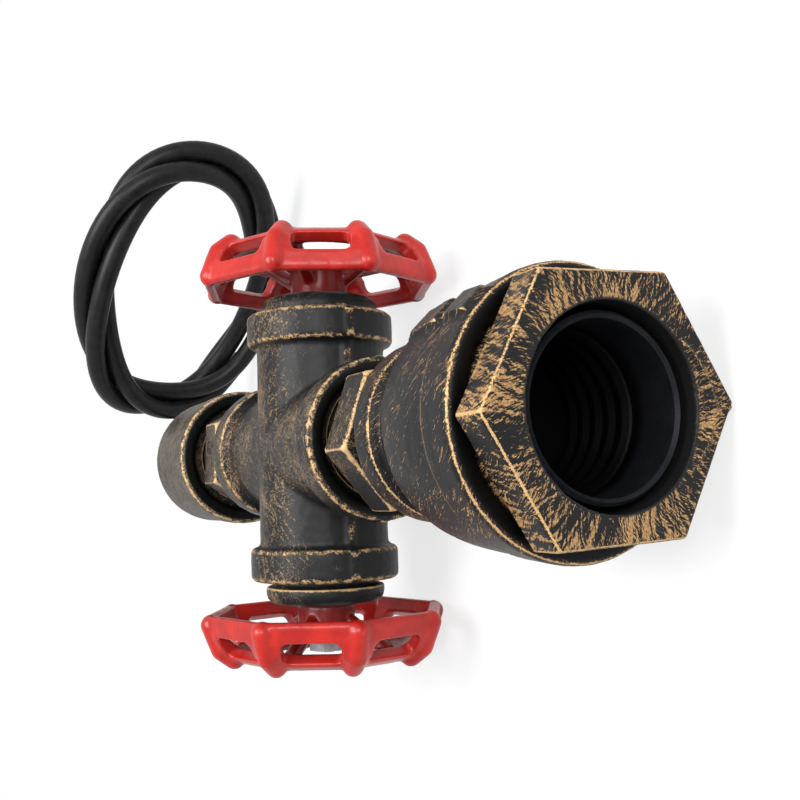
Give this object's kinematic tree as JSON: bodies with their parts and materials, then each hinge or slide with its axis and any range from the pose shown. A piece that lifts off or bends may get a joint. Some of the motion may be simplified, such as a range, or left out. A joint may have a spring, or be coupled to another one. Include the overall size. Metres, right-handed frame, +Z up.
{
  "type": "pipe pendant light",
  "caption": "Pendant light built from threaded pipe fittings: bell with hexagonal mouth and lampholder, pipe cross, red turning handwheels, cord cap and coiled black cord.",
  "frame": {"origin": "on the floor under the middle of the lamp, cord left out", "axes": "+Z up, mouth towards -Y, cord leaves towards +Y, right handwheel towards +X"},
  "size_m": [0.1639, 0.2889, 0.0811],
  "materials": {
    "aged_metal": "black enamel rubbed with antique gold",
    "red_enamel": "gloss red enamel",
    "black_plastic": "satin",
    "brass": "plain",
    "steel": "zinc plated",
    "black_rubber": "smooth gloss",
    "brown_core": "gloss",
    "blue_core": "gloss",
    "earth_core": "gloss",
    "packing_felt": "greased"
  },
  "bodies": {
    "lamp": {"hex_bushing": "aged_metal", "bell_reducer": "aged_metal", "front_nipple": "aged_metal", "pipe_cross": "aged_metal", "rear_nipple": "aged_metal", "cord_cap": "aged_metal", "lampholder_shell": "black_plastic", "lampholder_base": "black_plastic", "lampholder_cap": "black_plastic", "centre_contact": "brass", "side_contact": "brass", "terminal_blocks": "brass", "terminal_screws": "steel", "holder_tube": "steel", "carrier_disc": "steel", "earth_tag": "brass", "holder_lock_nut": "steel", "live_wire": "brown_core", "neutral_wire": "blue_core", "earth_wire": "earth_core", "cord_collar": "steel", "strain_relief": "black_rubber", "right_plug": "aged_metal", "left_plug": "aged_metal", "right_packing": "packing_felt", "left_packing": "packing_felt", "cord_lead": "black_rubber", "cord_coil": "black_rubber", "brown_tail": "brown_core", "blue_tail": "blue_core", "earth_tail": "earth_core", "core_ferrules": "steel"},
    "right_wheel": {"right_handwheel": "red_enamel", "right_stem": "steel", "right_thrust_washer": "brass", "right_wheel_washer": "steel", "right_wheel_nut": "steel"},
    "left_wheel": {"left_handwheel": "red_enamel", "left_stem": "steel", "left_thrust_washer": "brass", "left_wheel_washer": "steel", "left_wheel_nut": "steel"}
  },
  "joints": [
    {"name": "right_wheel_turn", "type": "hinge", "parent": "lamp", "child": "right_wheel", "pos_m": [0.045, 0.00349, 0.0316], "axis": [1, 0, 0], "continuous": true},
    {"name": "left_wheel_turn", "type": "hinge", "parent": "lamp", "child": "left_wheel", "pos_m": [-0.045, 0.00349, 0.0316], "axis": [1, 0, 0], "continuous": true}
  ]
}
